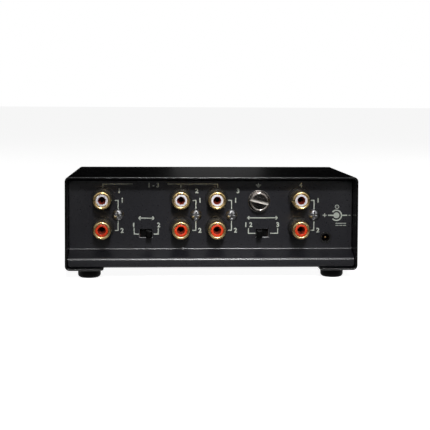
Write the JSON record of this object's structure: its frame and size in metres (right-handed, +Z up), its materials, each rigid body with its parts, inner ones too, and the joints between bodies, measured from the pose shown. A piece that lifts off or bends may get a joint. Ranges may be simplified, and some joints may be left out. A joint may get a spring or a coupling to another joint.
{
  "type": "phono preamp",
  "caption": "Small black steel-cased phono preamplifier with stacked phono sockets, slide switches, ground screw and power inlet on a recessed joggled panel, on rubber feet.",
  "frame": {"origin": "on the ground under the middle of the case, at the underside of the feet", "axes": "+Z up; the connector panel (rear of the product) faces -Y; +X is to the right when the connector panel is seen from outside"},
  "size_m": [0.135, 0.074, 0.0475],
  "materials": {
    "black_powder_coat": "fine-grained satin black powder coat",
    "black_rubber": "smooth matt",
    "zinc_steel": "bright zinc plate",
    "green_board": "solder mask, satin",
    "black_moulding": "moulded, satin",
    "gold_plate": "polished gold plate",
    "white_insulator": "moulded, glossy",
    "red_insulator": "moulded, glossy",
    "contact_brass": "dull tinned brass",
    "black_screw": "glossy black zinc",
    "brown_base": "phenolic laminate",
    "black_lever": "moulded, satin",
    "tin_plate": "bright tin",
    "nickel_plate": "bright nickel",
    "lamp_lens": "clear tinted lens",
    "black_epoxy": "moulded epoxy",
    "capacitor_sleeve": "shrunk sleeve",
    "resistor_body": "lacquered"
  },
  "bodies": {
    "case": {"outer_cover": "black_powder_coat", "chassis_tray": "black_powder_coat", "rear_left_foot": "black_rubber", "rear_right_foot": "black_rubber", "front_left_foot": "black_rubber", "front_right_foot": "black_rubber", "foot_screws": "zinc_steel", "foot_nuts": "zinc_steel", "circuit_board": "green_board", "board_standoffs": "zinc_steel", "board_screws": "zinc_steel", "input_1_socket_block": "black_moulding", "input_2_socket_block": "black_moulding", "input_3_socket_block": "black_moulding", "output_socket_block": "black_moulding", "input_1_lower_sleeve": "gold_plate", "input_1_upper_sleeve": "gold_plate", "input_2_lower_sleeve": "gold_plate", "input_2_upper_sleeve": "gold_plate", "input_3_lower_sleeve": "gold_plate", "input_3_upper_sleeve": "gold_plate", "output_lower_sleeve": "gold_plate", "output_upper_sleeve": "gold_plate", "input_1_lower_insulator": "red_insulator", "input_1_upper_insulator": "white_insulator", "input_2_lower_insulator": "red_insulator", "input_2_upper_insulator": "white_insulator", "input_3_lower_insulator": "red_insulator", "input_3_upper_insulator": "white_insulator", "output_lower_insulator": "red_insulator", "output_upper_insulator": "white_insulator", "input_1_lower_contact": "contact_brass", "input_1_upper_contact": "contact_brass", "input_2_lower_contact": "contact_brass", "input_2_upper_contact": "contact_brass", "input_3_lower_contact": "contact_brass", "input_3_upper_contact": "contact_brass", "output_lower_contact": "contact_brass", "output_upper_contact": "contact_brass", "socket_screws": "black_screw", "switch_1_frame": "zinc_steel", "switch_2_frame": "zinc_steel", "switch_1_base": "brown_base", "switch_2_base": "brown_base", "switch_terminals": "tin_plate", "ground_bush": "nickel_plate", "ground_strap": "tin_plate", "inlet_body": "black_moulding", "inlet_pin": "contact_brass", "inlet_spring": "tin_plate", "power_lamp": "lamp_lens", "lamp_holder": "black_moulding", "amplifier_chips": "black_epoxy", "filter_capacitors": "capacitor_sleeve", "resistors": "resistor_body"},
    "first_lever": {"switch_1_slider": "black_lever"},
    "second_lever": {"switch_2_slider": "black_lever"},
    "captive_washer": {"ground_washer": "nickel_plate"},
    "terminal_screw": {"ground_screw": "nickel_plate"}
  },
  "joints": [
    {"name": "switch_1_slide", "type": "slide", "parent": "case", "child": "first_lever", "axis": [1, 0, 0], "range_m": [-0.003, 0]},
    {"name": "switch_2_slide", "type": "slide", "parent": "case", "child": "second_lever", "axis": [1, 0, 0], "range_m": [0, 0.003]},
    {"name": "washer_travel", "type": "slide", "parent": "case", "child": "captive_washer", "axis": [0, -1, 0], "range_m": [0, 0.0035]},
    {"name": "ground_screw_turn", "type": "hinge", "parent": "captive_washer", "child": "terminal_screw", "pos_m": [0.0223, -0.0272, 0.03555], "axis": [0, -1, 0], "range_deg": [0, 1805]}
  ],
  "couplings": [
    {"joint": "ground_screw_turn", "follows": "washer_travel", "rad_per_m": 8976}
  ]
}
